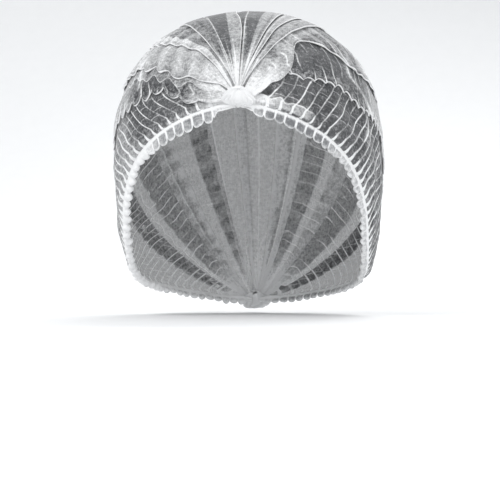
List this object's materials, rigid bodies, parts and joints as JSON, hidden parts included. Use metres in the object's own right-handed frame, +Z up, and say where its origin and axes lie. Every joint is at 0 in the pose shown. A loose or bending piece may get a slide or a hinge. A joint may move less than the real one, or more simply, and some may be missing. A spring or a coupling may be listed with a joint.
{
  "type": "pleated disposable head cap",
  "caption": "Translucent white nonwoven cap whose lengthwise pleats fan out between a forehead weld and a nape weld, over two elasticated ruffled hems.",
  "frame": {"origin": "midway between the two end welds, on the straight line that joins them, in the middle of the head opening", "axes": "+Z up towards the crown with the cap as worn, -Y towards the wearer's forehead, +X towards the wearer's left"},
  "size_m": [0.1932, 0.2167, 0.2171],
  "materials": {
    "nonwoven": "thin white translucent spunbond polypropylene, matt",
    "welded_nonwoven": "pleats pinched and fused together, opaque white",
    "elastic": "white covered elastic, matt"
  },
  "bodies": {
    "crown": {"centre_pleat": "nonwoven", "front_end_weld": "welded_nonwoven", "rear_end_weld": "welded_nonwoven"},
    "upper_left": {"upper_pleat_left": "nonwoven"},
    "middle_left": {"middle_pleat_left": "nonwoven"},
    "lower_left": {"lower_pleat_left": "nonwoven", "hem_left": "nonwoven", "elastic_left": "elastic"},
    "upper_right": {"upper_pleat_right": "nonwoven"},
    "middle_right": {"middle_pleat_right": "nonwoven"},
    "lower_right": {"lower_pleat_right": "nonwoven", "hem_right": "nonwoven", "elastic_right": "elastic"}
  },
  "joints": [
    {"name": "lower_fold_left", "type": "hinge", "parent": "crown", "child": "lower_left", "pos_m": [0, 0, 0], "axis": [0, -0.7809, 0.6247], "range_deg": [0, 48], "stiffness_Nm_per_rad": 0.02},
    {"name": "middle_fold_left", "type": "hinge", "parent": "crown", "child": "middle_left", "pos_m": [0, 0, 0], "axis": [0, -0.7809, 0.6247], "range_deg": [0, 32]},
    {"name": "upper_fold_left", "type": "hinge", "parent": "crown", "child": "upper_left", "pos_m": [0, 0, 0], "axis": [0, -0.7809, 0.6247], "range_deg": [0, 16]},
    {"name": "lower_fold_right", "type": "hinge", "parent": "crown", "child": "lower_right", "pos_m": [0, 0, 0], "axis": [0, 0.7809, -0.6247], "range_deg": [0, 48], "stiffness_Nm_per_rad": 0.02},
    {"name": "middle_fold_right", "type": "hinge", "parent": "crown", "child": "middle_right", "pos_m": [0, 0, 0], "axis": [0, 0.7809, -0.6247], "range_deg": [0, 32]},
    {"name": "upper_fold_right", "type": "hinge", "parent": "crown", "child": "upper_right", "pos_m": [0, 0, 0], "axis": [0, 0.7809, -0.6247], "range_deg": [0, 16]}
  ],
  "couplings": [
    {"joint": "middle_fold_left", "follows": "lower_fold_left", "ratio": 0.66667},
    {"joint": "upper_fold_left", "follows": "lower_fold_left", "ratio": 0.33333},
    {"joint": "middle_fold_right", "follows": "lower_fold_right", "ratio": 0.66667},
    {"joint": "upper_fold_right", "follows": "lower_fold_right", "ratio": 0.33333}
  ]
}
